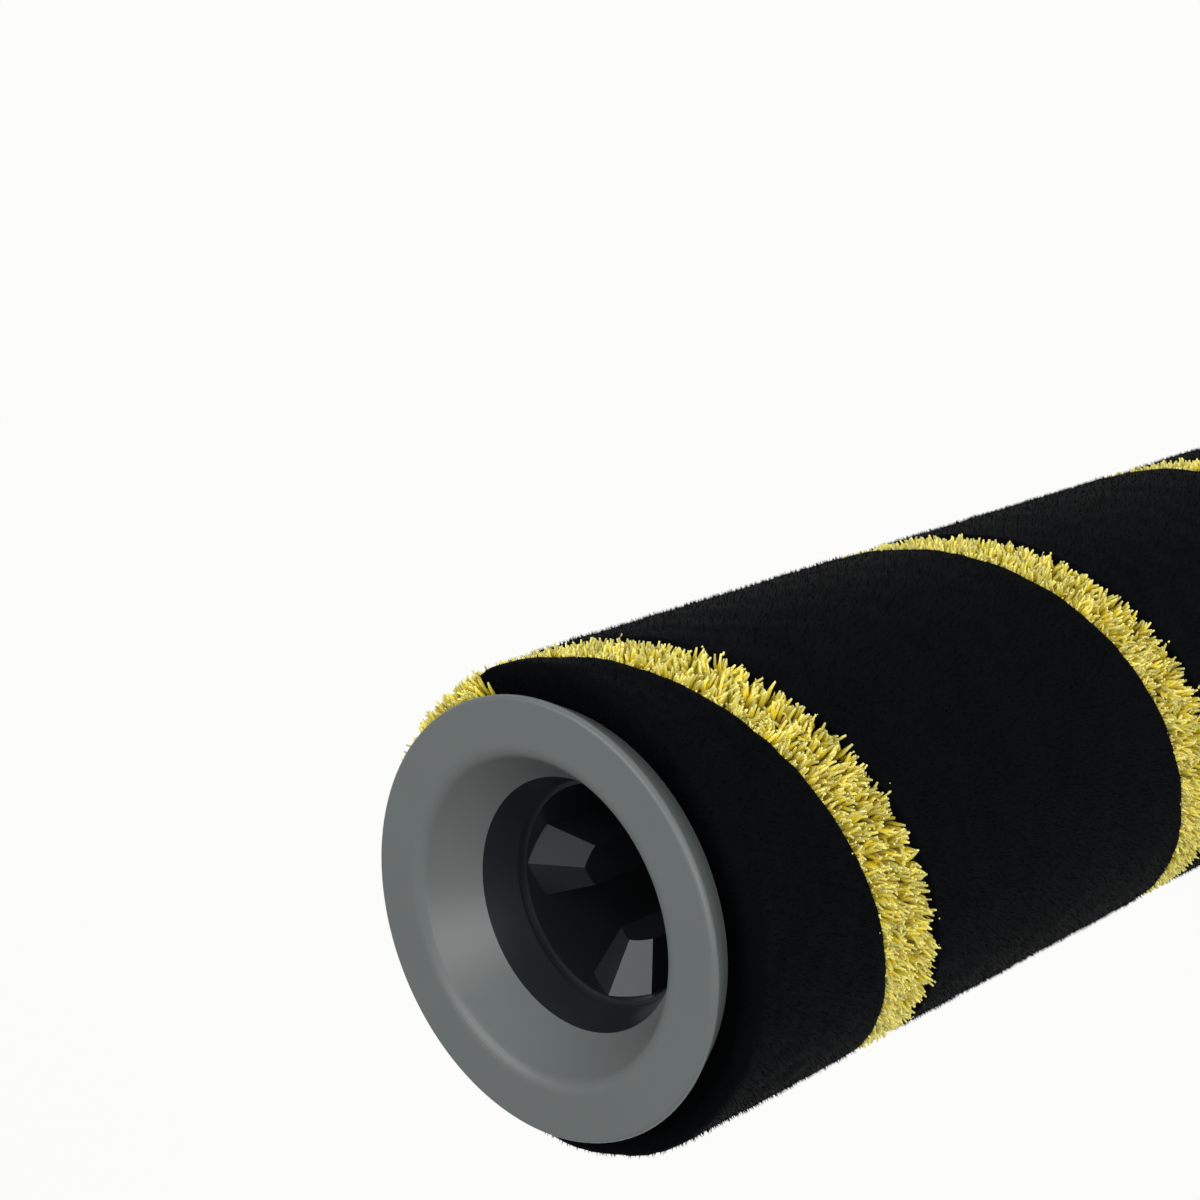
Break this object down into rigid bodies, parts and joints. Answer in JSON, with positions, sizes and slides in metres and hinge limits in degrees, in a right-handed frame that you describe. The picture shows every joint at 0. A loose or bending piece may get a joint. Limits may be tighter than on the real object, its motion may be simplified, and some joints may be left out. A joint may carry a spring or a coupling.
{
  "type": "vacuum roller brush",
  "caption": "Soft pile roller for a floor cleaner: velvet sleeve with a wound stripe on a tube, funnelled toothed drive end, plain capped end.",
  "frame": {"origin": "centre of the end cap's foot, on the surface that the roller stands on", "axes": "+Z along the roller's axis, from the closed cap to the funnelled drive end; +X is the side where the stripe starts, 10.4 mm below the collar's face"},
  "size_m": [0.05, 0.05, 0.15],
  "materials": {
    "grey_plastic": "satin moulded mid grey",
    "hub_plastic": "smooth moulded near-black plastic",
    "tube_plastic": "plain extruded plastic, hidden",
    "backing_fabric": "woven black backing",
    "black_pile": "dense black velvet pile",
    "yellow_pile": "coarse yellow yarn pile"
  },
  "bodies": {
    "root": {"end_collar": "grey_plastic", "drive_hub": "hub_plastic", "core_tube": "tube_plastic", "end_cap": "grey_plastic", "fabric_backing": "backing_fabric", "black_pile": "black_pile", "yellow_stripe": "yellow_pile"}
  },
  "joints": []
}
